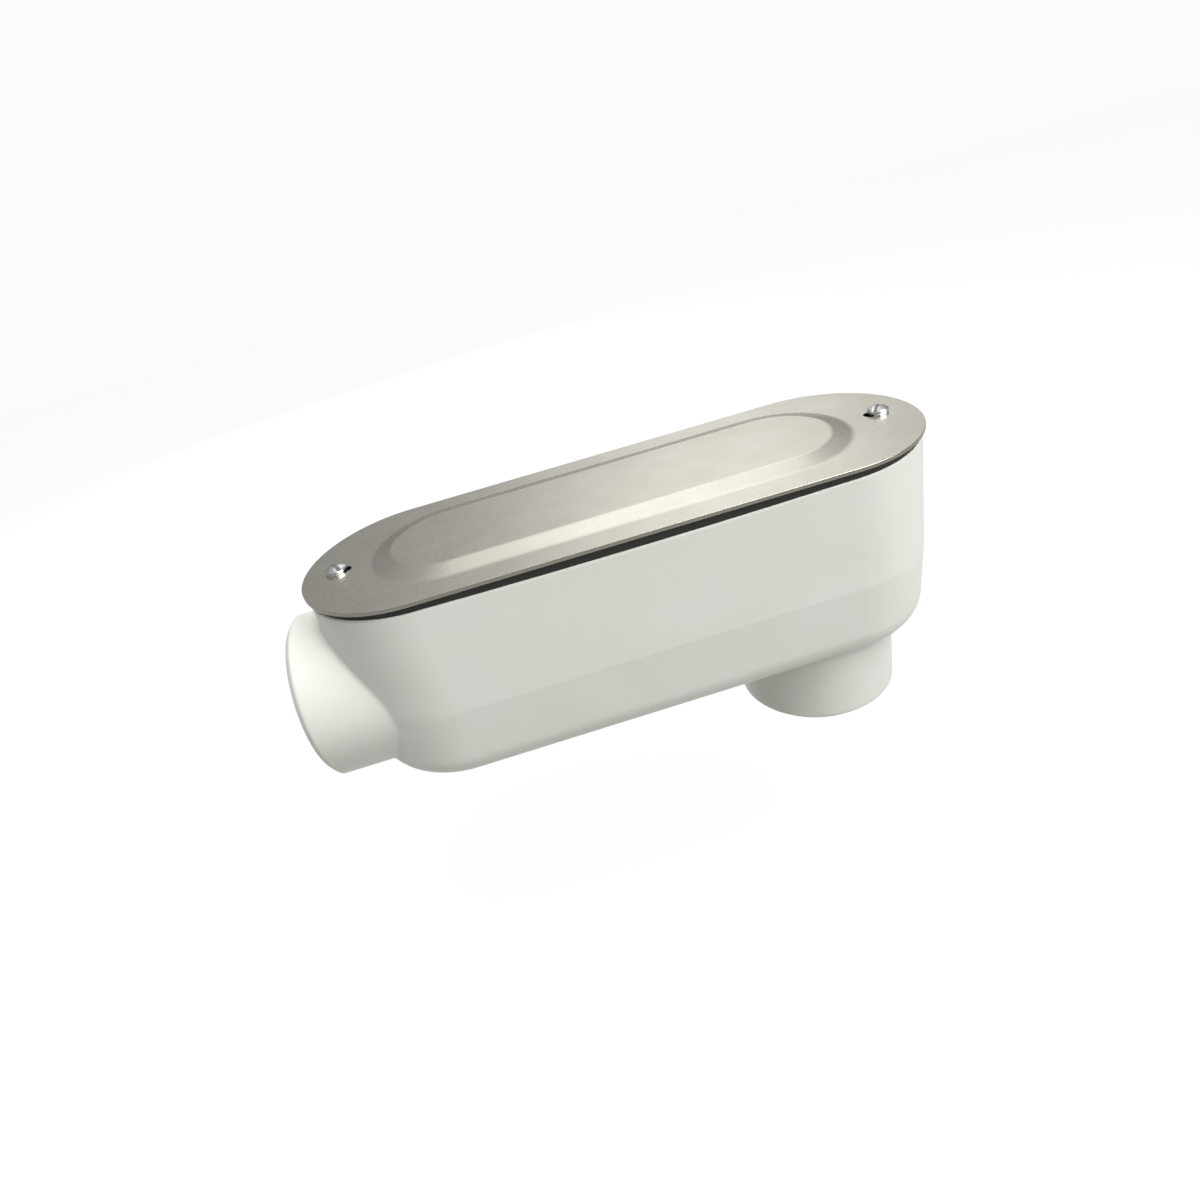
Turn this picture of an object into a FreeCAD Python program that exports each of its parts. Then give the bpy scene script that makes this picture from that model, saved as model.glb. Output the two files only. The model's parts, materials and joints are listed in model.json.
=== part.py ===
"""LB conduit body for 1-1/2 in threaded conduit, in millimetres.

A die-cast aluminium tub with two threaded hubs, closed by a rubber gasket and a
stamped aluminium cover that two screws hold down.

Frame: the origin is on the rear hub's axis where its thread begins, +Z runs up
that axis to the cover, and the end hub points along -X.

The tub, the gasket and the cover share one plan: two round ends joined by a
straight. Each of them is one half section, turned about both end centres and
drawn along the straight between them.
"""
import FreeCAD, Part
import math
import os

# Plan that the tub, the gasket and the cover share
STRAIGHT = 140.0            # between the centres of the two round ends
COVER_R = 36.0              # round end of the cover
COVER_OVERHANG = 0.9        # the cover stands out past the rim all round

# Tub: outside
TUB_DEPTH = 70.8            # outside of the floor up to the two ends of the rim
RIM_SAG = 1.8               # the rim dips this far at mid length
BOTTOM_ROUND = 11.0         # round between the walls and the floor
UPPER_DRAFT = 0.5           # degrees, from the parting line up to the rim
LOWER_DRAFT = 3.0           # degrees, from the parting line down to the floor
# Tub: inside
RIM_WALL = 3.2              # wall at the rim
FLOOR_WALL = 3.2
CAVITY_DRAFT = 0.5          # degrees, from the rim down to the floor
CAVITY_BEVEL = 6.0          # across the corner between the walls and the floor

# Hubs
HUB_R = 29.2                # outside of both hubs
HUB_EDGE = 1.8              # bevel on a hub's outer rim
END_JUNCTION_ROUND = 1.6    # fillet where the end hub meets the tub
REAR_JUNCTION_BEVEL = 1.2   # bevel where the rear hub meets the tub
THREAD_R = 23.1             # pitch radius of the 1-1/2 in pipe thread
THREAD_LENGTH = 18.4        # effective length of that thread
MOUTH_BEVEL = 1.2           # countersink in front of the thread
THROAT_R = 19.5             # smooth bushing that stops the conduit
BUSHING_NOSE = 2.5          # height of the bevel on the bushing's conduit side
BUSHING_EXIT = 3.0          # 45 degree bevel on the bushing's chamber side

# Rear hub, through the floor
REAR_HUB_LENGTH = 28.3      # mouth to the outside of the floor
REAR_HUB_SETBACK = 6.0      # hub axis to the nearer round end's centre
# End hub, through the round end, on the parting line
END_HUB_HEIGHT = 30.2       # hub axis above the outside of the floor
END_HUB_PROJECTION = 12.5   # mouth past the tub's round end
END_SLEEVE_LENGTH = 32.0    # mouth to the sleeve's end inside the chamber
END_SLEEVE_WALL = 3.4       # metal round the thread inside the chamber

# Gasket and cover
GASKET_THICKNESS = 1.5      # squeezed thickness at its two ends
GASKET_INSET = 0.4          # gasket edge in from the rim
GASKET_LIP = 1.5            # the gasket reaches this far past the rim's inner edge
COVER_THICKNESS = 1.3
PANEL_STRAIGHT = 112.0      # between the centres of the raised panel's round ends
PANEL_FOOT_R = 27.4         # where the panel's skirt leaves the flange
PANEL_SKIRT = 8.2           # width of the skirt in plan
PANEL_HEIGHT = 1.9

# Cover screws, no. 8 with small slotted heads, and what they pass through
SCREW_FROM_END = 11.4       # screw axis in from the cover's end
SCREW_R = 1.79              # shank at about the thread's pitch diameter
SCREW_CLEARANCE = 0.06      # shank to tapped hole, all round
SCREW_LENGTH = 12.7
HEAD_R = 3.5
HEAD_HEIGHT = 2.5
HEAD_SIDE = 1.2             # upright side of the head under its bevelled top
HEAD_TOP_R = 2.2            # flat of the head's top
DRIVE_WIDTH = 1.2
DRIVE_DEPTH = 1.3
DRIVE_TURN = {"left": 35.0, "right": -50.0}     # where each screw came to rest, degrees
BOSS_R = 5.6
TAPPED_DEPTH = 11.4         # from the rim
COVER_SLOT_WIDTH = 4.4
COVER_SLOT_INWARD = 2.8     # the slot's inner end centre, in from the screw
GASKET_HOLE_R = 2.5

# ------------------------------------------------------------------ derived places
MOUTH_Z = -MOUTH_BEVEL
FLOOR_Z = MOUTH_Z + REAR_HUB_LENGTH
RIM_Z = FLOOR_Z + TUB_DEPTH
COVER_Z = RIM_Z + GASKET_THICKNESS              # underside of the cover
FLANGE_Z = COVER_Z + COVER_THICKNESS
PARTING_Z = FLOOR_Z + END_HUB_HEIGHT
RIM_R = COVER_R - COVER_OVERHANG
PARTING_R = RIM_R + (RIM_Z - PARTING_Z) * math.tan(math.radians(UPPER_DRAFT))
CAVITY_R = RIM_R - RIM_WALL
CHAMBER_Z = FLOOR_Z + FLOOR_WALL                # inside of the floor
RIGHT_X = REAR_HUB_SETBACK                      # centres of the two round ends
LEFT_X = RIGHT_X - STRAIGHT
MIDDLE_X = (LEFT_X + RIGHT_X) / 2
END_MOUTH_X = LEFT_X - PARTING_R - END_HUB_PROJECTION
SCREW_REACH = COVER_R - SCREW_FROM_END          # screw axis past an end centre
SCREW_X = {"left": LEFT_X - SCREW_REACH, "right": RIGHT_X + SCREW_REACH}
OUTWARD = {"left": -1, "right": 1}              # way from the middle to each end

X, Y, Z = FreeCAD.Vector(1, 0, 0), FreeCAD.Vector(0, 1, 0), FreeCAD.Vector(0, 0, 1)
EPSILON = 0.001             # two places closer than this are the same


# ------------------------------------------------------------------ profiles
def at(r, z):
    """A profile point: r out from the axis and z up."""
    return FreeCAD.Vector(r, 0, z)


def line(a, b):
    return Part.makeLine(a, b)


def arc(centre, radius, start, end):
    """Arc about a profile point, from one angle to another in degrees.

    Angles are measured from the outward direction up towards +Z.
    """
    angles = [start, (start + end) / 2, end]
    points = [centre + at(math.cos(math.radians(t)), math.sin(math.radians(t))) * radius
              for t in angles]
    return Part.Arc(*points).toShape()


def closed_face(edges):
    return Part.Face(Part.Wire(Part.__sortEdges__(edges)))


def loop(points):
    return closed_face([line(a, b) for a, b in zip(points, points[1:] + points[:1])])


def pill(section, straight=STRAIGHT):
    """Solid with round ends: a half section given a half turn about each end
    centre and drawn along the straight between them, on both sides."""
    origin = FreeCAD.Vector()
    left_x, right_x = MIDDLE_X - straight / 2, MIDDLE_X + straight / 2
    near, far = section.rotated(origin, Z, -90), section.rotated(origin, Z, 90)
    quarters = [far.revolve(origin, Z, 180).translated(X * left_x),
                near.revolve(origin, Z, 180).translated(X * right_x)]
    quarters += [side.translated(X * left_x).extrude(X * straight) for side in (near, far)]
    return fused(quarters)


def fused(shapes):
    return shapes[0].multiFuse(shapes[1:]).removeSplitter()


def turned(outline):
    """Solid of revolution about Z from a closed loop of profile points."""
    return loop(outline).revolve(FreeCAD.Vector(), Z, 360)


def placed(shape, base, axis):
    """A shape drawn up Z from the origin, moved to base and laid along axis."""
    shape.Placement = FreeCAD.Placement(base, FreeCAD.Rotation(Z, axis))
    return shape


def tub_section(rim_z):
    """Half section of the tub's outside: drafted up to the rim and down to the
    floor from the parting line, with a round between the wall and the floor."""
    lean = math.radians(LOWER_DRAFT)
    centre_z = FLOOR_Z + BOTTOM_ROUND
    drop = PARTING_Z - centre_z
    centre = at(PARTING_R - (drop * math.sin(lean) + BOTTOM_ROUND) / math.cos(lean), centre_z)
    wall_foot = centre + at(math.cos(lean), -math.sin(lean)) * BOTTOM_ROUND
    path = [at(centre.x, FLOOR_Z), at(0, FLOOR_Z), at(0, rim_z), at(RIM_R, rim_z), at(RIM_R, RIM_Z),
            at(PARTING_R, PARTING_Z), wall_foot]
    edges = [line(a, b) for a, b in zip(path, path[1:])]
    return closed_face(edges + [arc(centre, BOTTOM_ROUND, -LOWER_DRAFT, -90)])


def core_section(top_z):
    """Half section of the chamber: drafted walls, bevelled to the floor."""
    bevel_z = CHAMBER_Z + CAVITY_BEVEL
    foot_r = CAVITY_R - (RIM_Z - bevel_z) * math.tan(math.radians(CAVITY_DRAFT))
    return loop([at(0, CHAMBER_Z), at(foot_r - CAVITY_BEVEL, CHAMBER_Z), at(foot_r, bevel_z),
                 at(CAVITY_R, RIM_Z), at(CAVITY_R, top_z), at(0, top_z)])


# ------------------------------------------------------------------ tub casting
def hub_outside(base, axis, length):
    """Plain round hub, bevelled round its mouth."""
    outline = [at(0, 0), at(HUB_R - HUB_EDGE, 0), at(HUB_R, HUB_EDGE), at(HUB_R, length), at(0, length)]
    return placed(turned(outline), base, axis)


def junction(shell, mouth, axis):
    """Edges along which the outside of a hub runs into the tub."""
    def on_hub(point):
        along = (point - mouth).dot(axis)
        out = (point - mouth - axis * along).Length
        return along > HUB_EDGE + EPSILON and abs(out - HUB_R) < EPSILON

    def lies_on_hub(edge):
        span = edge.LastParameter - edge.FirstParameter
        return all(on_hub(edge.valueAt(edge.FirstParameter + span * k / 4)) for k in range(5))

    return [edge for edge in shell.Edges if lies_on_hub(edge)]


def hub_bore(depth, base, axis):
    """What is cut from a hub, turned about its axis: countersink, thread, and
    the bevelled bushing that stops the conduit and spares the wires.

    Heights run from the mouth inwards, and depth is where the chamber begins.
    """
    thread_end = MOUTH_BEVEL + THREAD_LENGTH
    exit_r = THROAT_R + BUSHING_EXIT
    outline = [at(0, -MOUTH_BEVEL), at(THREAD_R + 2 * MOUTH_BEVEL, -MOUTH_BEVEL),
               at(THREAD_R, MOUTH_BEVEL), at(THREAD_R, thread_end),
               at(THROAT_R, thread_end + BUSHING_NOSE), at(THROAT_R, depth - BUSHING_EXIT),
               at(exit_r, depth), at(exit_r, depth + BUSHING_EXIT), at(0, depth + BUSHING_EXIT)]
    return placed(turned(outline), base, axis)


def end_sleeve():
    """The end hub carried on into the chamber, solid below its own axis."""
    sleeve = Part.makeCylinder(THREAD_R + END_SLEEVE_WALL, END_SLEEVE_LENGTH,
                               FreeCAD.Vector(END_MOUTH_X, 0, PARTING_Z), X)
    saddle = Part.makeBox(END_SLEEVE_LENGTH, 2 * COVER_R, PARTING_Z - MOUTH_Z,
                          FreeCAD.Vector(END_MOUTH_X, -COVER_R, MOUTH_Z))
    return [sleeve, saddle]


def screw_boss(side, foot_z):
    """Post for a cover screw, joined to the end wall by a web of its own width."""
    x = SCREW_X[side]
    height = COVER_Z + GASKET_THICKNESS - foot_z
    post = Part.makeCylinder(BOSS_R, height, FreeCAD.Vector(x, 0, foot_z))
    wall_x = x + OUTWARD[side] * SCREW_FROM_END
    web = Part.makeBox(SCREW_FROM_END, 2 * BOSS_R, height,
                       FreeCAD.Vector(min(x, wall_x), -BOSS_R, foot_z))
    return [post, web]


def chamber():
    """The open space inside, drawn up past the rim: a drafted core with room
    left for the end sleeve and for the two screw bosses."""
    top_z = COVER_Z + GASKET_THICKNESS
    core = pill(core_section(top_z))
    sleeve_top = PARTING_Z + THREAD_R + END_SLEEVE_WALL / 2
    return core.cut(end_sleeve() + screw_boss("left", sleeve_top) + screw_boss("right", FLOOR_Z))


def above_rim(top_z):
    """Everything over the rim's long shallow curve, up to top_z."""
    half_length = STRAIGHT / 2 + RIM_R
    radius = (half_length ** 2 + RIM_SAG ** 2) / (2 * RIM_SAG)
    centre = FreeCAD.Vector(MIDDLE_X, 0, RIM_Z - RIM_SAG + radius)
    reach = half_length + COVER_R
    ends = [FreeCAD.Vector(MIDDLE_X + side * reach, 0, centre.z - math.sqrt(radius ** 2 - reach ** 2))
            for side in (-1, 1)]
    low = FreeCAD.Vector(MIDDLE_X, 0, RIM_Z - RIM_SAG)
    tops = [FreeCAD.Vector(p.x, 0, top_z) for p in ends]
    edges = [Part.Arc(ends[0], low, ends[1]).toShape(), line(ends[1], tops[1]),
             line(tops[1], tops[0]), line(tops[0], ends[0])]
    slab = closed_face(edges).extrude(Y * (4 * COVER_R))
    return slab.translated(Y * (-2 * COVER_R))


def tapped_hole(side):
    return Part.makeCylinder(SCREW_R + SCREW_CLEARANCE, TAPPED_DEPTH + GASKET_THICKNESS,
                             FreeCAD.Vector(SCREW_X[side], 0, RIM_Z - TAPPED_DEPTH))


def body_casting():
    """The die-cast tub: walls, floor, both hubs, end sleeve and screw bosses."""
    rear_mouth = FreeCAD.Vector(0, 0, MOUTH_Z)
    end_mouth = FreeCAD.Vector(END_MOUTH_X, 0, PARTING_Z)
    tub = pill(tub_section(COVER_Z))
    rear_hub = hub_outside(rear_mouth, Z, REAR_HUB_LENGTH + BOTTOM_ROUND)
    end_hub = hub_outside(end_mouth, X, END_HUB_PROJECTION + PARTING_R)
    outside = fused([tub, rear_hub, end_hub])
    outside = outside.makeFillet(END_JUNCTION_ROUND, junction(outside, end_mouth, X))
    outside = outside.makeChamfer(REAR_JUNCTION_BEVEL, junction(outside, rear_mouth, Z))
    bores = [hub_bore(REAR_HUB_LENGTH + FLOOR_WALL, rear_mouth, Z),
             hub_bore(END_SLEEVE_LENGTH, end_mouth, X)]
    above = above_rim(COVER_Z + 2 * GASKET_THICKNESS)
    return outside.cut([chamber(), above] + bores + [tapped_hole(side) for side in SCREW_X])


# ------------------------------------------------------------------ gasket
def gasket():
    """Flat ring on the rim with a pad at each screw, thicker where the rim dips."""
    low_z, high_z = RIM_Z - 2 * RIM_SAG, COVER_Z
    inner_r, outer_r = CAVITY_R - GASKET_LIP, RIM_R - GASKET_INSET
    ring = pill(loop([at(inner_r, low_z), at(outer_r, low_z), at(outer_r, high_z), at(inner_r, high_z)]))
    pieces = [ring]
    for side, x in SCREW_X.items():
        pad_r = BOSS_R + GASKET_LIP
        ring_x = x + OUTWARD[side] * (inner_r - SCREW_REACH)
        pieces.append(Part.makeCylinder(pad_r, high_z - low_z, FreeCAD.Vector(x, 0, low_z)))
        pieces.append(Part.makeBox(abs(ring_x - x) + GASKET_LIP, 2 * pad_r, high_z - low_z,
                                   FreeCAD.Vector(min(x, ring_x - GASKET_LIP), -pad_r, low_z)))
    holes = [Part.makeCylinder(GASKET_HOLE_R, high_z - low_z, FreeCAD.Vector(x, 0, low_z))
             for x in SCREW_X.values()]
    return fused(pieces).cut(holes).common(above_rim(COVER_Z + COVER_THICKNESS))


# ------------------------------------------------------------------ cover
def flat_sheet(radius):
    """Half section of the flange's sheet, out to radius."""
    return loop([at(0, COVER_Z), at(radius, COVER_Z), at(radius, FLANGE_Z), at(0, FLANGE_Z)])


def panel_section():
    """Half section of the raised panel: its skirt slopes up from the flange and
    keeps the sheet's thickness."""
    crown_r = PANEL_FOOT_R - PANEL_SKIRT
    panel_z = FLANGE_Z + PANEL_HEIGHT
    slope = math.atan2(PANEL_HEIGHT, PANEL_SKIRT)
    under = COVER_THICKNESS * math.tan(slope / 2)       # how far the underside's bends lie inwards
    return loop([at(0, panel_z), at(crown_r, panel_z), at(PANEL_FOOT_R, FLANGE_Z),
                 at(PANEL_FOOT_R, COVER_Z), at(PANEL_FOOT_R - under, COVER_Z),
                 at(crown_r - under, panel_z - COVER_THICKNESS), at(0, panel_z - COVER_THICKNESS)])


def cover():
    """Stamped cover: flat flange, raised panel and a short slot at each screw."""
    footprint = pill(flat_sheet(PANEL_FOOT_R), PANEL_STRAIGHT)
    flange = pill(flat_sheet(COVER_R)).cut([footprint] + [cover_slot(side) for side in SCREW_X])
    return fused([flange, pill(panel_section(), PANEL_STRAIGHT)])


def cover_slot(side):
    """Slot that runs from the screw towards the middle of the cover."""
    half_width = COVER_SLOT_WIDTH / 2
    inner_x = SCREW_X[side] - OUTWARD[side] * COVER_SLOT_INWARD
    ends = [Part.makeCylinder(half_width, COVER_THICKNESS, FreeCAD.Vector(x, 0, COVER_Z))
            for x in (SCREW_X[side], inner_x)]
    between = Part.makeBox(COVER_SLOT_INWARD, COVER_SLOT_WIDTH, COVER_THICKNESS,
                           FreeCAD.Vector(min(SCREW_X[side], inner_x), -half_width, COVER_Z))
    return fused(ends + [between])


# ------------------------------------------------------------------ screws
def cover_screw(side):
    """Slotted screw, seated on the cover's flange."""
    head_top, tip_z = FLANGE_Z + HEAD_HEIGHT, FLANGE_Z - SCREW_LENGTH
    screw = turned([at(0, tip_z), at(SCREW_R, tip_z), at(SCREW_R, FLANGE_Z), at(HEAD_R, FLANGE_Z),
                    at(HEAD_R, FLANGE_Z + HEAD_SIDE), at(HEAD_TOP_R, head_top), at(0, head_top)])
    drive = Part.makeBox(2 * HEAD_R, DRIVE_WIDTH, DRIVE_DEPTH,
                         FreeCAD.Vector(-HEAD_R, -DRIVE_WIDTH / 2, head_top - DRIVE_DEPTH))
    screw = screw.cut(drive.rotated(FreeCAD.Vector(), Z, DRIVE_TURN[side]))
    return screw.translated(X * SCREW_X[side])


# ------------------------------------------------------------------ build
def main():
    os.makedirs("parts", exist_ok=True)
    pieces = {"body_casting": body_casting(), "gasket": gasket(), "cover": cover()}
    pieces.update({f"cover_screw_{side}": cover_screw(side) for side in SCREW_X})
    for name, shape in pieces.items():
        shape.exportStep(f"parts/{name}.step")
        box = shape.BoundBox
        print(f"{name}: solids {len(shape.Solids)}, valid {shape.isValid()}, {shape.Volume:.0f} mm3,",
              f"X {box.XMin:.2f}..{box.XMax:.2f}, Y {box.YMin:.2f}..{box.YMax:.2f},",
              f"Z {box.ZMin:.2f}..{box.ZMax:.2f}")


main()
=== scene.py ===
# %% [markdown]
# # Conduit body: an LB fitting in painted cast aluminium
# Electricians fit this body where two conduits meet at a right angle. Its solids come from the
# CAD model, and this lesson dresses them: it stamps the cover's soft bends, cuts the threads,
# mixes the five finishes and sets up a small studio.

import bmesh
import bpy
import json
import math
import numpy as np
from functools import partial
from mathutils import Matrix, Vector


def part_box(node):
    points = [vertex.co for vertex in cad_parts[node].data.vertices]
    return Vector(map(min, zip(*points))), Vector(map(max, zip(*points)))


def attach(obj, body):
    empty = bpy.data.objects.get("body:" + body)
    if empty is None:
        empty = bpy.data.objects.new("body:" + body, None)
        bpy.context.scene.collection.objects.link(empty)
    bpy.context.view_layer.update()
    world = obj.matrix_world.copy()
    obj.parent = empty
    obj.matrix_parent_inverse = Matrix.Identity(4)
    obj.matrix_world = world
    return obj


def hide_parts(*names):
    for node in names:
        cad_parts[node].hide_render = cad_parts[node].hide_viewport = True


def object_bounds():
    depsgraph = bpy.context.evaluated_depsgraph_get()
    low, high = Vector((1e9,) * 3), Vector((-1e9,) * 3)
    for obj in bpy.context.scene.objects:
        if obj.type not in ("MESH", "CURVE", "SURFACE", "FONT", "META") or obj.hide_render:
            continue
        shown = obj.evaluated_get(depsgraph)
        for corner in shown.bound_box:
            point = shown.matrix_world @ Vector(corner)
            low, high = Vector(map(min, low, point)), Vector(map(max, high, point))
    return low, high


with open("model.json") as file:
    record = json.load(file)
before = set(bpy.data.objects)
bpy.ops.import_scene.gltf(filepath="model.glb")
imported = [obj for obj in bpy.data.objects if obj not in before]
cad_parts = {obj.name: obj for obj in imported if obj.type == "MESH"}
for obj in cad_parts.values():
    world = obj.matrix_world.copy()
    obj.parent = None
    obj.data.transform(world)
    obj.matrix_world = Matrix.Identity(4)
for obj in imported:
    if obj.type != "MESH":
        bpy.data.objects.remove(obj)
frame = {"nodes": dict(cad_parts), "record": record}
nodes = frame["nodes"]
cad_box = [list(corner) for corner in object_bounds()]
MM = 0.001
INCH = 25.4 * MM
print("nodes:", sorted(nodes))

# %% [markdown]
# ## Sizes read from the CAD solids
# A finished piece must sit exactly where its plain solid sits. So each place below is worked
# out from the corner boxes of the solids, and only sizes that the solids leave out are new.

# %% Places
cover_low, cover_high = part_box("cover")
casting_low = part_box("body_casting")[0]
screw_box = {side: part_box(f"cover_screw_{side}") for side in ("left", "right")}
mounts = {mount["name"]: mount for mount in frame["record"]["mounts"]}
thread_r = mounts["rear_hub"]["dims"]["r_mm"] * MM
thread_length = mounts["rear_hub"]["dims"]["length_mm"] * MM
end_mouth_x, _, hub_axis_z = mounts["end_hub"]["pos_m"]

cover_r = cover_high.y                      # round ends of the cover
cover_straight = (cover_high.x - cover_low.x) - 2 * cover_r
middle_x = (cover_high.x + cover_low.x) / 2
sheet_low = cover_low.z
panel_top = cover_high.z
PANEL_HEIGHT = 1.9 * MM                     # raised panel over the flange
SHEET = 1.3 * MM                            # thickness of the sheet
flange_top = sheet_low + SHEET
print(f"cover {2e3 * cover_r:.1f} mm wide, straight {1e3 * cover_straight:.1f} mm")

# %% [markdown]
# ## A grid becomes a mesh
# Most pieces here are a surface worked out as an array of points, rows by columns. Four
# neighbouring points make a face, and a surface that goes all the way round has its last
# column joined to its first. A piece is several such surfaces, joined and then welded where
# their edges meet.

# %% From grids to a piece
def surface(grid, closed=True):
    """Points and faces of a grid: a face's corners lie in its row and the next one, and in its
    column and the next one, which after the last column is the first if the grid is closed."""
    rows, columns = grid.shape[:2]
    strips = columns if closed else columns - 1
    row, column = np.meshgrid(np.arange(rows - 1), np.arange(strips), indexing="ij")
    beside = (column + 1) % columns
    here, below = row * columns, (row + 1) * columns
    corners = np.stack([here + column, here + beside, below + beside, below + column], -1)
    return grid.reshape(-1, 3), corners.reshape(-1, 4)


def joined(parts):
    """Several pairs of points and faces as one pair: each part's corners count on from the last."""
    points, faces = [], []
    for part_points, part_faces in parts:
        faces += (part_faces + sum(map(len, points))).tolist()
        points.append(part_points)
    return np.concatenate(points), faces


def mesh_object(name, points, faces):
    """Object at the origin, from points in metres and the corner numbers of each face."""
    mesh = bpy.data.meshes.new(name)
    mesh.from_pydata(points.tolist(), [], faces)
    mesh.validate()
    piece = bpy.data.objects.new(name, mesh)
    bpy.context.scene.collection.objects.link(piece)
    return piece


sample = surface(np.zeros((3, 4, 3)))
print(f"3 rows of 4 points, closed: {len(sample[0])} points, {len(sample[1])} faces")

# %% Welding and shading
WELD_DISTANCE = 0.0005 * MM                 # points nearer than this are one point
FLAT_FACE_WEIGHT = 80                       # of 100: over 50, large faces outweigh small ones


def weld(piece):
    """Merges double points, so that seams and poles close, and turns the faces outwards."""
    bm = bmesh.new()
    bm.from_mesh(piece.data)
    bmesh.ops.remove_doubles(bm, verts=bm.verts, dist=WELD_DISTANCE)
    bmesh.ops.dissolve_degenerate(bm, edges=bm.edges, dist=WELD_DISTANCE)
    bmesh.ops.recalc_face_normals(bm, faces=bm.faces)
    open_edges = sum(not edge.is_manifold for edge in bm.edges)
    bm.to_mesh(piece.data)
    bm.free()
    piece.data.shade_smooth()
    print(f"{piece.name}: {len(piece.data.polygons)} faces, {open_edges} open edges")


def even_normals(piece):
    """Large flat faces keep their own normal, so the bends beside them shade softly."""
    modifier = piece.modifiers.new("even_normals", "WEIGHTED_NORMAL")
    modifier.weight = FLAT_FACE_WEIGHT
    modifier.keep_sharp = True


print(f"points within {1e6 * WELD_DISTANCE:.1f} thousandths of a millimetre are welded")

# %% [markdown]
# ## The stamped cover
# A press draws the cover from flat sheet. Its panel rises along a skirt with a soft bend at the
# foot and another at the crown, and its edge is slightly rolled by the blanking punch. Sharp
# corners would catch no light, so the section is drawn with real bends and then carried round
# an outline with round ends.

# %% Outline with round ends
ARC_STEPS = 48
SIDE_STEPS = 24


def pill_outline(straight, radius):
    """Closed outline: two half circles of the radius, joined by straights, as x and y."""
    turn = np.linspace(-90, 90, ARC_STEPS + 1)
    angle = np.radians(np.concatenate([turn, turn + 180]))
    centre_x = np.repeat([straight / 2, -straight / 2], ARC_STEPS + 1)
    ends = np.stack([centre_x + radius * np.cos(angle), radius * np.sin(angle)], 1)
    right, left = ends[:ARC_STEPS + 1], ends[ARC_STEPS + 1:]
    share = np.linspace(0, 1, SIDE_STEPS + 1)[1:-1, None]
    far = right[-1] * (1 - share) + left[0] * share
    near = left[-1] * (1 - share) + right[0] * share
    outline = np.concatenate([right, far, left, near])
    outline[:, 0] += middle_x
    return outline


def at_height(outline, z):
    """The outline's points with their height added, the same for all."""
    return np.column_stack([outline, np.full(len(outline), z)])


def rings(outline, section):
    """A closed ring for each (radius, height) of the section: the outline of that radius, at
    that height."""
    return np.array([at_height(outline(radius), z) for radius, z in section])


print(f"{len(pill_outline(cover_straight, cover_r))} points round the cover")

# %% Section of the panel
PANEL_STRAIGHT = 112 * MM
PANEL_FOOT_R = 27.4 * MM                    # where the skirt leaves the flange
PANEL_SKIRT = 8.2 * MM                      # width of the skirt
FOOT_BEND = 7.0 * MM
CROWN_BEND = 5.0 * MM
BEND_STEPS = 8
CLOSED_R = 1e-6 * MM                        # the last ring closes on the panel's middle line


def bend(centre_r, centre_z, radius, start, end, steps):
    """Arc of a section, as radius and height. Its angles are in degrees, from outward towards
    +Z."""
    t = np.radians(np.linspace(start, end, steps + 1))
    return np.stack([centre_r + radius * np.cos(t), centre_z + radius * np.sin(t)], 1)


def panel_section(depth):
    """The panel's face, depth under its top face: two bends about fixed centres, joined by the
    straight that touches both, from the foot up to the crown. The straight's slope is that of
    the line between the centres, plus the angle whose sine is both radii over its length."""
    rise = PANEL_HEIGHT - FOOT_BEND - CROWN_BEND
    between = math.hypot(PANEL_SKIRT, rise)
    tilt = math.atan2(rise, PANEL_SKIRT) + math.asin((FOOT_BEND + CROWN_BEND) / between)
    slope = math.degrees(tilt)
    crown_r = PANEL_FOOT_R - PANEL_SKIRT
    foot = bend(PANEL_FOOT_R, flange_top + FOOT_BEND, FOOT_BEND + depth, 270, 270 - slope, BEND_STEPS)
    crown = bend(crown_r, panel_top - CROWN_BEND, CROWN_BEND - depth, 90 - slope, 90, BEND_STEPS)
    return np.concatenate([foot, crown, [[CLOSED_R, panel_top - depth]]])


top_section, under_section = panel_section(0), panel_section(SHEET)
print(f"{len(top_section)} points from the foot to the middle")

# %% [markdown]
# ## The flange, its edge and its slots
# The flange is flat, so it needs no grid. Its outer edge and the walls of the two screw slots
# are thin rings, and the flat between them is filled with triangles. Each ring has a small
# radius where the punch went through, because that is the line that catches the light.

# %% Edge and slots
EDGE_TOP = 0.16 * MM                        # rolled edge on the punch side
EDGE_UNDER = 0.15 * MM                      # the same on the underside and round the slots
EDGE_STEPS = 6
LIP_STEPS = 3
SLOT_R = 2.2 * MM
SLOT_INWARD = 2.8 * MM                      # inner end of the slot from the screw's axis
SLOT_STEPS = 24
screw_x = {side: (low.x + high.x) / 2 for side, (low, high) in screw_box.items()}
outward = {"left": -1, "right": 1}


def edge_section():
    """The sheet's outer edge, from its top face down to its underside."""
    top = bend(cover_r - EDGE_TOP, flange_top - EDGE_TOP, EDGE_TOP, 90, 0, EDGE_STEPS)
    under = bend(cover_r - EDGE_UNDER, sheet_low + EDGE_UNDER, EDGE_UNDER, 0, -90, LIP_STEPS)
    return np.concatenate([top, under])


def slot_section():
    """A slot's wall: a small lip, then straight down to the underside."""
    lip = bend(SLOT_R + EDGE_UNDER, flange_top - EDGE_UNDER, EDGE_UNDER, 90, 180, LIP_STEPS)
    return np.concatenate([lip, [[SLOT_R, sheet_low]]])


def slot_outline(side, radius):
    """Closed outline of a screw's slot, which runs in towards the cover's middle."""
    t = np.radians(np.linspace(-90, 90, SLOT_STEPS + 1))
    outer = np.stack([radius * np.cos(t), radius * np.sin(t)], 1)
    inner = np.stack([-SLOT_INWARD - radius * np.cos(t), -radius * np.sin(t)], 1)
    outline = np.concatenate([outer, inner])
    outline[:, 0] *= outward[side]
    outline[:, 0] += screw_x[side]
    return outline


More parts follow.
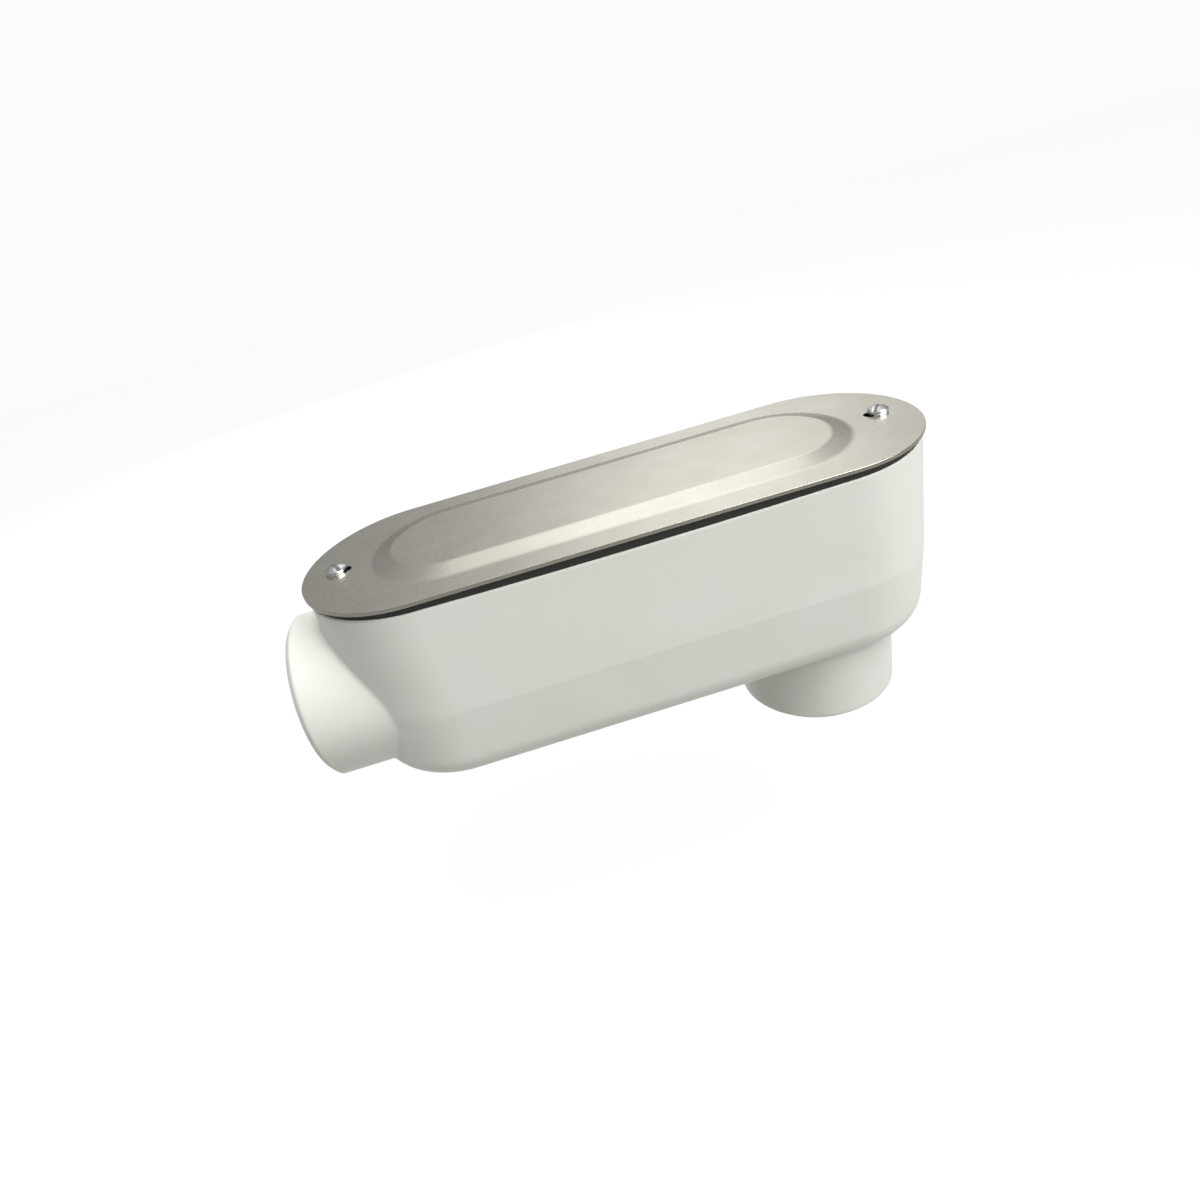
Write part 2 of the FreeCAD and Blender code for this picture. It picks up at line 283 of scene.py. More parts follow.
print(f"slot {2e3 * SLOT_R:.1f} mm wide at x = {1e3 * screw_x['left']:.1f} and "
      f"{1e3 * screw_x['right']:.1f} mm")

# %% Flat flange
def fill_between(loops):
    """Flat triangles between an outer loop and the loops inside it, as points and faces. Each
    point has an edge to the next one of its loop, and the last to the first."""
    points = np.concatenate(loops)
    ends = np.cumsum([len(loop) for loop in loops])
    here = np.arange(len(points))
    following = np.concatenate([np.roll(part, -1) for part in np.split(here, ends[:-1])])
    flat = bpy.data.meshes.new("flat")
    flat.from_pydata(points.tolist(), np.stack([here, following], 1).tolist(), [])
    bm = bmesh.new()
    bm.from_mesh(flat)
    bmesh.ops.triangle_fill(bm, use_beauty=True, use_dissolve=False, edges=bm.edges)
    bm.to_mesh(flat)
    bm.free()
    corners = np.zeros(len(flat.loops), np.int32)
    flat.loops.foreach_get("vertex_index", corners)
    bpy.data.meshes.remove(flat)
    return points, corners.reshape(-1, 3)


sample = fill_between([at_height(slot_outline("left", SLOT_R), flange_top)])
print(f"a filled slot: {len(sample[0])} points, {len(sample[1])} triangles")

# %% Cover
def stamped_cover():
    """Top face, underside, edge and slot walls as rings, with the flat of the flange filled in
    between them on both faces, all welded into one closed sheet."""
    panel = rings(partial(pill_outline, PANEL_STRAIGHT), top_section)
    dish = rings(partial(pill_outline, PANEL_STRAIGHT), under_section)
    edge = rings(partial(pill_outline, cover_straight), edge_section())
    slots = [rings(partial(slot_outline, side), slot_section()) for side in outward]
    top_flat = fill_between([edge[0], panel[0]] + [slot[0] for slot in slots])
    under_flat = fill_between([edge[-1], dish[0]] + [slot[-1] for slot in slots])
    strips = [surface(strip) for strip in (panel, dish, edge, *slots)]
    piece = mesh_object("stamped_cover", *joined([*strips, top_flat, under_flat]))
    weld(piece)
    even_normals(piece)
    return piece


cover = stamped_cover()
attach(cover, "lid")
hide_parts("cover")

# %% [markdown]
# ## The cover screws
# Each screw is a no. 8 with 32 threads per inch. Its head is a low dome with a sawn slot. A dome
# cut by a slot is awkward to model by hand, but easy as a height over a flat grid: the height
# is the dome's, or the slot's floor where the point lies inside the slot's width. The thread of
# the shank is fine enough to be a wave in its radius that climbs as it goes round.

# %% Screw sizes
screw_low, screw_high = screw_box["left"]
head_r = (screw_high.x - screw_low.x) / 2
head_top = screw_high.z
shank_end = screw_low.z
HEAD_SIDE = 1.2 * MM                        # upright side of the head under its dome
DRIVE_WIDTH = 1.2 * MM                      # the sawn slot
DRIVE_DEPTH = 1.3 * MM
DRIVE_TURN = {"left": 35, "right": -50}     # degrees at which each screw came to rest
SCREW_PITCH = INCH / 32
SCREW_CREST = 1.84 * MM
SCREW_ROOT = 1.50 * MM
NECK_R = 0.98 * SCREW_CREST                 # hole under the head that the shank runs up into
print(f"head {2e3 * head_r:.1f} mm across, shank {1e3 * (flange_top - shank_end):.1f} mm long")

# %% Screw head
DOME_COLUMNS = 14                           # columns of the dome on each side of the slot
HEAD_ROWS = 33


def head_surface():
    """Head as a height over columns across the slot: the dome is a ball's cap, and the slot is
    a flat floor of three columns. A column of the dome stands on each of the floor's edges, so
    the slot's walls are upright."""
    half = DRIVE_WIDTH / 2
    curved = head_r * np.cos(np.linspace(0, math.pi / 2 - half / head_r, DOME_COLUMNS))
    curved[-1] = half
    across = np.concatenate([-curved, [-half, 0, half], curved[::-1]])[:, None]
    reach = np.sqrt(np.clip(head_r ** 2 - across ** 2, 0, None))
    along = np.linspace(-1, 1, HEAD_ROWS) * reach
    rise = head_top - flange_top - HEAD_SIDE
    ball_r = (head_r ** 2 + rise ** 2) / (2 * rise)
    height = head_top - ball_r + np.sqrt(ball_r ** 2 - across ** 2 - along ** 2)
    height[DOME_COLUMNS:-DOME_COLUMNS] = head_top - DRIVE_DEPTH
    return np.stack([np.broadcast_to(across, along.shape), along, height], -1)


def head_side(top):
    """Three rings: the head's rim, the foot straight below it, and the neck, which is the foot
    drawn in to one radius."""
    rim = np.concatenate([top[:, 0], top[-1, 1:-1], top[::-1, -1], top[0, -2:0:-1]])
    outline = rim[:, :2]
    neck = outline * NECK_R / np.linalg.norm(outline, axis=1, keepdims=True)
    return np.stack([rim, at_height(outline, flange_top), at_height(neck, flange_top)])


dome = head_surface()
side_wall = head_side(dome)
print(f"dome of {dome.shape[0]} x {dome.shape[1]} points, side of {side_wall.shape[1]} round")

# %% Screw shank
SHANK_COLUMNS = 48
SHANK_ROWS = 150
SHANK_INSIDE = 0.2 * MM                     # how far the shank starts inside the head
POINT_TAPER = 0.5 * MM                      # what the radius loses over the last pitch


def threaded_shank():
    """Radius over height and angle: a triangle wave that climbs one pitch each turn, faded out
    over one pitch towards the point and the head. A row on the axis closes each end."""
    angle = np.linspace(0, 2 * np.pi, SHANK_COLUMNS, endpoint=False)
    z = np.linspace(shank_end, flange_top + SHANK_INSIDE, SHANK_ROWS)[:, None]
    phase = (z / SCREW_PITCH - angle / (2 * np.pi)) % 1
    wave = 1 - np.abs(2 * phase - 1)
    from_point = np.clip((z - shank_end) / SCREW_PITCH, 0, 1)
    from_head = np.clip((flange_top - z) / SCREW_PITCH, 0, 1)
    radius = SCREW_ROOT + (SCREW_CREST - SCREW_ROOT) * wave * from_point * from_head
    radius = radius - POINT_TAPER * (1 - from_point)
    x, y = radius * np.cos(angle), radius * np.sin(angle)
    wall = np.stack([x, y, np.broadcast_to(z, x.shape)], -1)
    on_axis = [0, 0, 1]
    return np.concatenate([wall[:1] * on_axis, wall, wall[-1:] * on_axis])


shank = threaded_shank()
print(f"shank of {shank.shape[0]} x {shank.shape[1]} points, "
      f"{(flange_top - shank_end) / SCREW_PITCH:.0f} turns of thread")

# %% Screws in their places
def cover_screw(side):
    """Dome and side welded together, with the shank standing in the neck, which is left open,
    turned about its own axis and moved to its place."""
    parts = [surface(dome, closed=False), surface(side_wall), surface(shank)]
    piece = mesh_object(f"zinc_screw_{side}", *joined(parts))
    turned = Matrix.Rotation(math.radians(DRIVE_TURN[side]), 4, "Z")
    piece.data.transform(Matrix.Translation((screw_x[side], 0, 0)) @ turned)
    weld(piece)
    return piece


screws = {side: cover_screw(side) for side in outward}
for side, screw in screws.items():
    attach(screw, f"screw_{side}")
    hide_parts(f"cover_screw_{side}")

# %% [markdown]
# ## Pipe threads in the hubs
# The CAD bore is plain, at the thread's pitch radius. The thread itself is a ridge with a
# 60 degree point that climbs 11.5 turns an inch. It could be a bump in the material, but the
# ridge shows in the hub's outline from an angle, so it is real geometry: a small profile
# carried along a helix, sunk a little into the wall and faded out at both ends.

# %% Thread sizes
PIPE_PITCH = INCH / 11.5
RIDGE_HEIGHT = 0.9 * MM                     # from the pitch radius in to the crest
RIDGE_ROOT = 0.98 * MM                      # half width of the ridge at the wall
RIDGE_CREST = 0.16 * MM                     # half width of its flattened crest
SUNK = 0.25 * MM                            # the ridge's foot inside the wall
STEPS_PER_TURN = 96
FADE_TURNS = 1 / 3                          # the ridge grows, and dies away, over this much turn
LEAST_HEIGHT = 0.02                         # share of its height that is left at its two ends
print(f"{thread_length / PIPE_PITCH:.1f} pitches in {1e3 * thread_length:.1f} mm of thread")

# %% Thread ridges
def thread_ridge(name, place):
    """A four-cornered profile carried along a helix, from one end of the thread to the other.
    Its height fades at both ends, and a face closes each of them."""
    turns = (thread_length - 2 * RIDGE_ROOT) / PIPE_PITCH
    t = np.linspace(0, turns, int(turns * STEPS_PER_TURN))[:, None]
    angle = 2 * np.pi * t
    fade = np.clip(np.minimum(t, turns - t) / FADE_TURNS, LEAST_HEIGHT, 1)
    inwards = np.array([-SUNK, RIDGE_HEIGHT, RIDGE_HEIGHT, -SUNK])
    radius = thread_r - np.where(inwards > 0, inwards * fade, inwards)
    offset = np.array([-RIDGE_ROOT, -RIDGE_CREST, RIDGE_CREST, RIDGE_ROOT])
    depth = RIDGE_ROOT + t * PIPE_PITCH + offset
    grid = place(radius * np.cos(angle), radius * np.sin(angle), depth)
    points, faces = surface(grid)
    profile = np.arange(len(inwards))
    caps = [profile[::-1], profile + len(points) - len(inwards)]
    piece = mesh_object(name, points, np.concatenate([faces, caps]).tolist())
    weld(piece)
    piece.data.shade_flat()
    return piece


# Across, up and depth from a hub's mouth, as a place in the frame
threads = {
    "rear_hub_thread": lambda u, v, d: np.stack([u, v, d], -1),
    "end_hub_thread": lambda u, v, d: np.stack([end_mouth_x + d, -u, hub_axis_z + v], -1),
}
ridges = [thread_ridge(name, place) for name, place in threads.items()]
for ridge in ridges:
    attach(ridge, "casting")

# %% [markdown]
# ## Finishes
# Each finish starts from the real process: powder coat on a casting, bare rolled sheet, cut
# threads, zinc plating and moulded rubber. Helpers turn hex colours to linear light, add a
# node and lay a noise of a real size over a piece, so each material reads as a short recipe
# that ends in its shader.

# %% Material helpers
def linear(code):
    """sRGB hex to linear RGBA: the lower part of the curve is a straight line."""
    channel = np.array([int(code[k:k + 2], 16) for k in (1, 3, 5)]) / 255
    value = np.where(channel <= 0.04045, channel / 12.92, ((channel + 0.055) / 1.055) ** 2.4)
    return (*value.tolist(), 1.0)


def add_node(tree, kind, sockets=None, output=0, **settings):
    """Adds a node with its settings and returns the output that the next node takes. A socket
    gets a number or a colour, or a link from another node's output."""
    node = tree.nodes.new(kind)
    for key, value in settings.items():
        setattr(node, key, value)
    for key, value in (sockets or {}).items():
        if isinstance(value, bpy.types.NodeSocket):
            tree.links.new(value, node.inputs[key])
        else:
            node.inputs[key].default_value = value
    return node.outputs[output] if node.outputs else None


def empty_tree(owner):
    """Node tree of a material or a world, with nothing in it yet."""
    owner.use_nodes = True
    owner.node_tree.nodes.clear()
    return owner.node_tree


def patches(tree, size, stretch=(1, 1, 1), detail=2.0):
    """Noise in patches about size metres across, each axis stretched by its share: the
    coordinates are divided by the patch's size along each axis."""
    place = add_node(tree, "ShaderNodeTexCoord", output="Object")
    scale = [1 / (size * share) for share in stretch]
    place = add_node(tree, "ShaderNodeMapping", {"Vector": place, "Scale": scale})
    return add_node(tree, "ShaderNodeTexNoise", {"Vector": place, "Scale": 1.0, "Detail": detail})


# Sockets of a Mix node that mixes colours: its share, its two colours and its output
SHARE, FIRST, SECOND, MIXED = 0, 6, 7, 2
# Noise seldom leaves this range, so stretching it to 0 and 1 uses both colours fully
MIDDLE = {"From Min": 0.3, "From Max": 0.7}
print(f"the grey #808080 is {linear('#808080')[0]:.3f} in linear light")

# %% [markdown]
# ## Powder coat on the casting
# Off-white polyester powder is sprayed on dry and baked. It flows out into a satin film with a
# faint orange peel, rounds every corner a little and still shows the line where the halves of
# the die met. The film is thin, so all of this is in the material and not in the mesh.

# %% Powder coat
CORNER_R = 1.8 * MM                         # how round the film makes the casting's corners
PARTING_WIDTH = 0.22 * MM                   # half width of the line that the die's halves leave
FILM_RELIEF = 0.10 * MM                     # full height of that line and of the orange peel


def powder_coat():
    """A slow drift between two near tones. The normal goes through three steps: corners are
    rounded, the line stands out at the height of the end hub's axis, and the peel covers both."""
    material = bpy.data.materials.new("powder_coat")
    tree = empty_tree(material)
    drift = patches(tree, size=28 * MM, detail=3)
    tone = add_node(tree, "ShaderNodeMapRange", {"Value": drift, **MIDDLE})
    colour = add_node(tree, "ShaderNodeMix", {
        SHARE: tone, FIRST: linear("#D6DAD1"), SECOND: linear("#DBDED7")}, MIXED, data_type="RGBA")
    rounded = add_node(tree, "ShaderNodeBevel", {"Radius": CORNER_R}, samples=8)
    place = add_node(tree, "ShaderNodeTexCoord", output="Object")
    height = add_node(tree, "ShaderNodeSeparateXYZ", {0: place}, "Z")
    on_line = add_node(tree, "ShaderNodeMath", {
        0: height, 1: hub_axis_z, 2: PARTING_WIDTH}, operation="COMPARE")
    line = add_node(tree, "ShaderNodeBump", {
        "Height": on_line, "Normal": rounded, "Strength": 0.5, "Distance": FILM_RELIEF})
    peel = patches(tree, size=1.3 * MM)
    film = add_node(tree, "ShaderNodeBump", {
        "Height": peel, "Normal": line, "Strength": 0.16, "Distance": FILM_RELIEF})
    shader = add_node(tree, "ShaderNodeBsdfPrincipled", {
        "Base Color": colour, "Roughness": 0.34, "IOR": 1.5, "Normal": film})
    add_node(tree, "ShaderNodeOutputMaterial", {"Surface": shader})
    return material


paint = powder_coat()
print(f"{paint.name}: {len(paint.node_tree.nodes)} nodes")

# %% [markdown]
# ## Rolled aluminium of the cover
# The sheet keeps its mill finish: the rolls leave fine lines along it and a soft, uneven sheen.
# The punch sheared its edge, which is duller and darker; the darker tone is partly painted shade,
# for the dark line along the cover's edge. Which faces were sheared could be marked by hand, but
# they are simply the upright ones, so the shader asks how level a face is.

# %% Rolled aluminium
ROLL_LINE = 0.35 * MM                       # across the roll lines, coarse enough to show
ROLL_STRETCH = (60, 1, 1)                   # how much longer than wide a roll line is
ROLL_RELIEF = 0.02 * MM                     # full height of lines and blotches
# upright faces get the sheared tone: a duller cut edge, and partly painted shade along the edge
SHEARED_AND_SHADED_TO_LEVEL = {"From Min": 0.3, "From Max": 0.9}
SUM_OF_TWO = {"From Min": 0.75, "From Max": 1.25}     # two noises seldom add up past this range


def rolled_aluminium():
    """Lines and blotches are added up, and the sum sets the roughness and a very shallow relief.
    A cloudy mix of two tones gives way to the sheared metal's darker tone on upright faces, which
    is partly painted shade along the cover's edge."""
    material = bpy.data.materials.new("rolled_aluminium")
    tree = empty_tree(material)
    cloud = patches(tree, size=14 * MM, detail=4)
    tone = add_node(tree, "ShaderNodeMapRange", {"Value": cloud, **MIDDLE})
    milled = add_node(tree, "ShaderNodeMix", {
        SHARE: tone, FIRST: linear("#E3DFD3"), SECOND: linear("#EBE8DD")}, MIXED, data_type="RGBA")
    normal = add_node(tree, "ShaderNodeNewGeometry", output="True Normal")
    up = add_node(tree, "ShaderNodeSeparateXYZ", {0: normal}, "Z")
    either_way = add_node(tree, "ShaderNodeMath", {0: up}, operation="ABSOLUTE")
    level = add_node(tree, "ShaderNodeMapRange", {"Value": either_way, **SHEARED_AND_SHADED_TO_LEVEL})
    # Upright faces turn a darker grey: the duller sheared edge, and partly painted shade along the
    # cover's edge
    colour = add_node(tree, "ShaderNodeMix", {
        SHARE: level, FIRST: linear("#8E8B83"), SECOND: milled}, MIXED, data_type="RGBA")
    lines = patches(tree, size=ROLL_LINE, stretch=ROLL_STRETCH, detail=3)
    blotches = patches(tree, size=1.5 * MM, detail=3)
    grain = add_node(tree, "ShaderNodeMath", {0: lines, 1: blotches}, operation="ADD")
    roughness = add_node(tree, "ShaderNodeMapRange", {
        "Value": grain, **SUM_OF_TWO, "To Min": 0.22, "To Max": 0.30})
    relief = add_node(tree, "ShaderNodeBump", {
        "Height": grain, "Strength": 0.04, "Distance": ROLL_RELIEF})
    shader = add_node(tree, "ShaderNodeBsdfPrincipled", {
        "Base Color": colour, "Metallic": 1.0, "Roughness": roughness, "Normal": relief})
    add_node(tree, "ShaderNodeOutputMaterial", {"Surface": shader})
    return material


mill_finish = rolled_aluminium()
print(f"{mill_finish.name}: {len(mill_finish.node_tree.nodes)} nodes")

# %% [markdown]
# ## Cut aluminium and zinc plate
# Threads are cut after painting, so a hub's bore is bright bare metal with the marks of the
# tool in it. The screws are drawn steel under bright zinc, which is clear, slightly blue and a
# little hazy. Both are small and bright, so noise in tone and roughness is enough.

# %% Cut aluminium
def cut_aluminium():
    """Tool marks: one noise shifts the tone and the roughness together."""
    material = bpy.data.materials.new("cut_aluminium")
    tree = empty_tree(material)
    marks = patches(tree, size=0.8 * MM)
    tone = add_node(tree, "ShaderNodeMapRange", {"Value": marks, **MIDDLE})
    colour = add_node(tree, "ShaderNodeMix", {
        SHARE: tone, FIRST: linear("#C6C7C5"), SECOND: linear("#D0D1CF")}, MIXED, data_type="RGBA")
    roughness = add_node(tree, "ShaderNodeMapRange", {
        "Value": marks, **MIDDLE, "To Min": 0.28, "To Max": 0.33})
    shader = add_node(tree, "ShaderNodeBsdfPrincipled", {
        "Base Color": colour, "Metallic": 1.0, "Roughness": roughness})
    add_node(tree, "ShaderNodeOutputMaterial", {"Surface": shader})
    return material


bare = cut_aluminium()
print(f"{bare.name}: {len(bare.node_tree.nodes)} nodes")

# %% Zinc plate
def zinc_plate():
    """Haze in two sizes: the larger shifts the tone, and the smaller shifts the roughness."""
    material = bpy.data.materials.new("zinc_plate")
    tree = empty_tree(material)
    haze = patches(tree, size=1.2 * MM, detail=3)
    tone = add_node(tree, "ShaderNodeMapRange", {"Value": haze, **MIDDLE})
    colour = add_node(tree, "ShaderNodeMix", {
        SHARE: tone, FIRST: linear("#DDE1E3"), SECOND: linear("#EAECED")}, MIXED, data_type="RGBA")
    fine_haze = patches(tree, size=0.5 * MM)
    roughness = add_node(tree, "ShaderNodeMapRange", {
        "Value": fine_haze, **MIDDLE, "To Min": 0.22, "To Max": 0.32})
    shader = add_node(tree, "ShaderNodeBsdfPrincipled", {
        "Base Color": colour, "Metallic": 1.0, "Roughness": roughness})
    add_node(tree, "ShaderNodeOutputMaterial", {"Surface": shader})
    return material


plate = zinc_plate()
print(f"{plate.name}: {len(plate.node_tree.nodes)} nodes")

# %% [markdown]
# ## Rubber of the gasket
# The gasket is cut from moulded black sheet rubber. It is matt, and the calender rolls leave a
# fine grain on it. Only its thin edge shows, so one grain drives tone, roughness and relief.

# %% Rubber
GRAIN_RELIEF = 0.03 * MM


def gasket_rubber():
    """Black rubber: one fine grain shifts the tone and the roughness, and stands out a little."""
    material = bpy.data.materials.new("gasket_rubber")
    tree = empty_tree(material)
    grain = patches(tree, size=0.4 * MM, detail=3)
    tone = add_node(tree, "ShaderNodeMapRange", {"Value": grain, **MIDDLE})
    colour = add_node(tree, "ShaderNodeMix", {
        SHARE: tone, FIRST: linear("#1E1F1D"), SECOND: linear("#2A2B29")}, MIXED, data_type="RGBA")
    roughness = add_node(tree, "ShaderNodeMapRange", {
        "Value": grain, **MIDDLE, "To Min": 0.62, "To Max": 0.78})
    relief = add_node(tree, "ShaderNodeBump", {
        "Height": grain, "Strength": 0.3, "Distance": GRAIN_RELIEF})
    shader = add_node(tree, "ShaderNodeBsdfPrincipled", {
        "Base Color": colour, "Roughness": roughness, "IOR": 1.52, "Normal": relief})
    add_node(tree, "ShaderNodeOutputMaterial", {"Surface": shader})
    return material


rubber = gasket_rubber()
print(f"{rubber.name}: {len(rubber.node_tree.nodes)} nodes")

# %% [markdown]
# ## Finishes on their pieces
# The casting is one solid, yet its bores are bare metal. Painting by face keeps the mesh as it
# is: a face whose middle lies on a hub's bore gets the second finish.

# %% Assign
BORE_NEAR = 1.3 * MM                        # a bare face's middle lies this near the thread's radius
BORE_BEYOND = 0.2 * MM                      # and at most this far past the thread's end


def dress(piece, *finishes):
    """Gives a piece these finishes in place of those it came with."""
    piece.data.materials.clear()
    for finish in finishes:
        piece.data.materials.append(finish)


def in_bore(along, across, up):
    """True for faces of a plain bore. Their places are measured from the middle of its mouth:
    they are near the thread's radius from the axis, and no deeper than the thread."""
    out = np.hypot(across, up)
    return (np.abs(out - thread_r) < BORE_NEAR) & (along < thread_length + BORE_BEYOND)


casting = nodes["body_casting"]
dress(casting, paint, bare)
centres = np.zeros(3 * len(casting.data.polygons))
casting.data.polygons.foreach_get("center", centres)
x, y, z = centres.reshape(-1, 3).T
is_bore = in_bore(z, x, y) | in_bore(x - end_mouth_x, y, z - hub_axis_z)
casting.data.polygons.foreach_set("material_index", is_bore.astype(np.int32))
print(f"{is_bore.sum()} of {len(is_bore)} casting faces are bare")

dress(nodes["gasket"], rubber)
dress(cover, mill_finish)
for screw in screws.values():
    dress(screw, plate)
for ridge in ridges:
    dress(ridge, bare)

# %% [markdown]
# ## Studio floor
# A pale floor lies well below the part, which its rear hub holds up. To the camera most of the
# floor is plain light, and a share of it stays real paint so that it keeps a soft shadow. The
# paint itself is grey, so that little light comes back up and round shapes keep their dark
# undersides.

# %% Floor
FLOOR_DROP = 90 * MM
FLOOR_HALF = 2.2                            # half the floor's side, in metres
GLOW_SHARE = 0.76                           # how much of the floor is plain light to the camera
GLOSSY_SHARE = 0.50                         # the same in the part's own reflections
GLOW = 1.205                                # strength of the plain light


def ray_share(tree, *kinds):
    """1 for the named kinds of ray, 0 for all others: the largest of the kinds' own values."""
    share = 0.0
    for kind in kinds:
        is_kind = add_node(tree, "ShaderNodeLightPath", output=kind)
        share = add_node(tree, "ShaderNodeMath", {0: share, 1: is_kind}, operation="MAXIMUM")
    return share


def pale_floor():
    """Grey paint, mixed with plain light for rays that a viewer follows."""
    material = bpy.data.materials.new("pale_floor")
    tree = empty_tree(material)
    grey = add_node(tree, "ShaderNodeBsdfDiffuse", {"Color": linear("#9A9A96")})
    glow = add_node(tree, "ShaderNodeEmission", {"Color": linear("#FFFFFF"), "Strength": GLOW})
    seen = ray_share(tree, "Is Camera Ray", "Is Transmission Ray")
    seen = add_node(tree, "ShaderNodeMath", {0: seen, 1: GLOW_SHARE}, operation="MULTIPLY")
    mirrored = ray_share(tree, "Is Glossy Ray")
    mirrored = add_node(tree, "ShaderNodeMath", {0: mirrored, 1: GLOSSY_SHARE}, operation="MULTIPLY")
    share = add_node(tree, "ShaderNodeMath", {0: seen, 1: mirrored}, operation="MAXIMUM")
    mixed = add_node(tree, "ShaderNodeMixShader", {0: share, 1: grey, 2: glow})
    add_node(tree, "ShaderNodeOutputMaterial", {"Surface": mixed})
    return material


floor_z = casting_low.z - FLOOR_DROP
corners = np.array([[-1, -1], [1, -1], [1, 1], [-1, 1]]) * FLOOR_HALF
floor = mesh_object("floor", at_height(corners, floor_z), [[0, 1, 2, 3]])
dress(floor, pale_floor())
print(f"floor at z = {1e3 * floor_z:.0f} mm")

# %% [markdown]
# ## Room
# The bare cover is a mirror of the room behind it. An even room would make it look like paper,
# so the room is dim at the horizon, with one tall bright window behind the part and a little
# to its right. The camera itself sees the room as white as the floor.

# %% Room
BACKDROP = 0.96                             # what the camera sees of the room
ROOM_BASE = 0.20                            # strength level with the part
ROOM_SKY = 0.20                             # what is added overhead
WINDOW_GLOW = 1.36                          # a tall bright window behind the part
WINDOW_NARROW = 12                          # power that narrows the window sideways
WINDOW_OVER = 0.3                           # how far it reaches over the top to the front
WINDOW_AROUND = math.radians(17)            # from +Y towards +X


def window_light(tree, across, facing, high):
    """The window's glow by direction: how near its upright plane a direction points, to a
    power, times how high, times how far it faces the window."""
    square = add_node(tree, "ShaderNodeMath", {0: across, 1: across}, operation="MULTIPLY")
    beside = add_node(tree, "ShaderNodeMath", {0: 1.0, 1: square}, operation="SUBTRACT")
    narrow = add_node(tree, "ShaderNodeMath", {0: beside, 1: WINDOW_NARROW}, operation="POWER")
    over = add_node(tree, "ShaderNodeMath", {0: facing, 1: WINDOW_OVER}, operation="ADD")
    over = add_node(tree, "ShaderNodeMath", {0: over, 1: 0.0}, operation="MAXIMUM")
    tall = add_node(tree, "ShaderNodeMath", {0: high, 1: over}, operation="MULTIPLY")
    return add_node(tree, "ShaderNodeMath", {0: narrow, 1: tall}, operation="MULTIPLY")


def room():
    """World light by direction: an even base, more overhead, and the window. Directions are
    turned about +Z until +Y faces the window, so their three numbers are across, facing, up."""
    world = bpy.data.worlds.new("room")
    tree = empty_tree(world)
    way = add_node(tree, "ShaderNodeTexCoord", output="Generated")
    turned = add_node(tree, "ShaderNodeMapping", {"Vector": way, "Rotation": (0, 0, WINDOW_AROUND)})
    across, facing, up = [add_node(tree, "ShaderNodeSeparateXYZ", {0: turned}, axis) for axis in "XYZ"]
    high = add_node(tree, "ShaderNodeMath", {0: up, 1: 0.0}, operation="MAXIMUM")
    window = window_light(tree, across, facing, high)
    level = add_node(tree, "ShaderNodeMath", {
        0: window, 1: WINDOW_GLOW, 2: ROOM_BASE}, operation="MULTIPLY_ADD")
    level = add_node(tree, "ShaderNodeMath", {0: high, 1: ROOM_SKY, 2: level}, operation="MULTIPLY_ADD")
    plain = linear("#FFFFFF")
    light = add_node(tree, "ShaderNodeBackground", {"Color": plain, "Strength": level})
    white = add_node(tree, "ShaderNodeBackground", {"Color": plain, "Strength": BACKDROP})
    seen = ray_share(tree, "Is Camera Ray", "Is Transmission Ray")
    mixed = add_node(tree, "ShaderNodeMixShader", {0: seen, 1: light, 2: white})
    add_node(tree, "ShaderNodeOutputWorld", {"Surface": mixed})
    return world


bpy.context.scene.world = room()
print(f"window {math.degrees(WINDOW_AROUND):.0f} degrees round from +Y")

# %% [markdown]
# ## Lamps
# Three soft square lamps shape the casting: one in front to the right, one overhead and one
# low behind. The last two are hidden from reflections, because their mirror images would burn
# out to white in the bare metal.

# %% Lamps
LAMP_DISTANCE = 1.2                         # metres from the middle of the part
part_middle = np.mean(np.array(cad_box), 0)


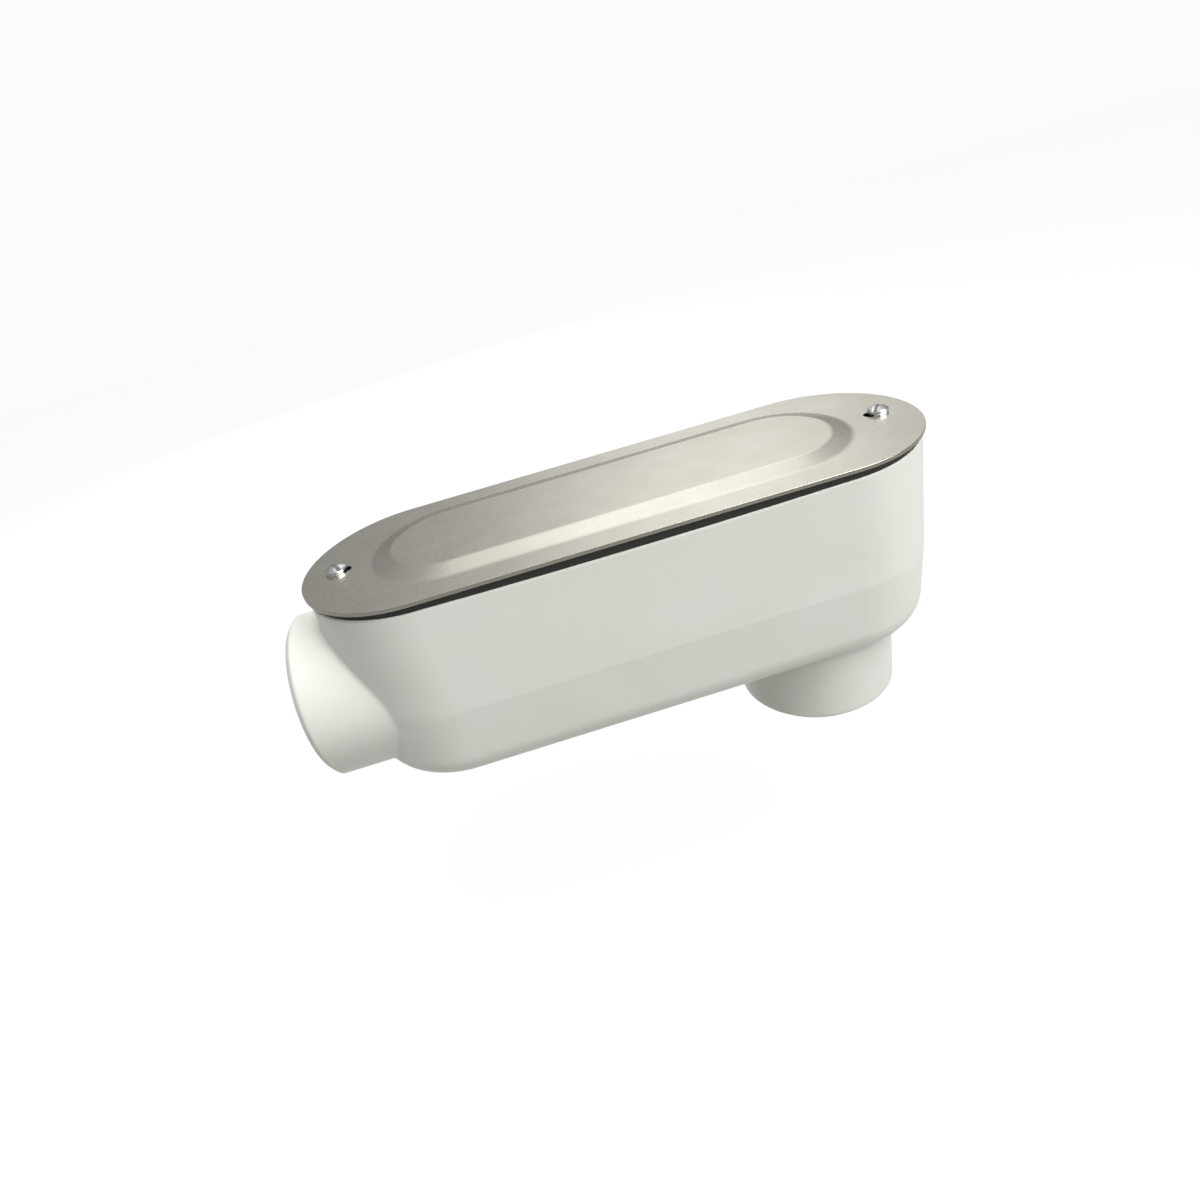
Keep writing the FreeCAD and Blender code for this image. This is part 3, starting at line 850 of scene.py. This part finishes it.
def soft_lamp(name, around, above, size, watts, mirrored=True):
    """A square area lamp that faces the part's middle, so many degrees round from +Y towards +X
    and so many above the horizon. Glossy finishes show it only if it is mirrored."""
    around, above = math.radians(around), math.radians(above)
    way = np.array([math.cos(above) * math.sin(around), math.cos(above) * math.cos(around),
                    math.sin(above)])
    lamp = bpy.data.lights.new(name, "AREA")
    lamp.shape, lamp.size, lamp.energy = "SQUARE", size, watts
    holder = bpy.data.objects.new(name, lamp)
    holder.visible_glossy = mirrored
    holder.location = part_middle + LAMP_DISTANCE * way
    holder.rotation_euler = Vector(-way).to_track_quat("-Z", "Y").to_euler()
    bpy.context.scene.collection.objects.link(holder)
    print(f"{name}: {watts} W, {size} m square")


soft_lamp("front_lamp", around=130, above=45, size=0.9, watts=15)
soft_lamp("top_lamp", around=190, above=78, size=0.5, watts=8.5, mirrored=False)
soft_lamp("back_lamp", around=-12, above=9, size=0.35, watts=8, mirrored=False)

# %% [markdown]
# ## Camera
# Four numbers describe the view: how far round the camera stands, how high, how much it is
# rolled, and how far it is from the point that it looks at. The camera's own axes follow from
# them.

# %% Camera
AROUND = math.radians(-3.38)
ABOVE = math.radians(30.56)
ROLL = math.radians(-15.09)
DISTANCE = 267.2 * MM
LOOKED_AT = np.array([-78.56, 0.0, 65.53]) * MM
LENS = 22.47                                # focal length in mm, on a sensor 36 mm wide
SENSOR = 36
SHIFT = (0.0048, -0.0078)                   # share of the frame, to the right and up
NEAREST = 10 * MM                           # nothing nearer than this is seen


def rolled_camera():
    """Camera axes: back points from the part to the camera, right is level, then both right and
    up turn by the roll."""
    back = np.array([math.sin(AROUND) * math.cos(ABOVE), -math.cos(AROUND) * math.cos(ABOVE),
                     math.sin(ABOVE)])
    right = np.array([math.cos(AROUND), math.sin(AROUND), 0])
    up = np.cross(back, right)
    turned_right = math.cos(ROLL) * right + math.sin(ROLL) * up
    turned_up = -math.sin(ROLL) * right + math.cos(ROLL) * up
    camera = bpy.data.cameras.new("camera")
    camera.lens, camera.sensor_width = LENS, SENSOR
    camera.shift_x, camera.shift_y = SHIFT
    camera.clip_start = NEAREST
    holder = bpy.data.objects.new("camera", camera)
    axes = np.eye(4)
    axes[:3, :3] = np.stack([turned_right, turned_up, back], 1)
    axes[:3, 3] = LOOKED_AT + back * DISTANCE
    holder.matrix_world = Matrix(axes.tolist())
    bpy.context.scene.collection.objects.link(holder)
    return holder


bpy.context.scene.camera = rolled_camera()
bpy.context.scene.view_settings.view_transform = "Standard"
print(f"camera {1e3 * DISTANCE:.0f} mm from the point it looks at")
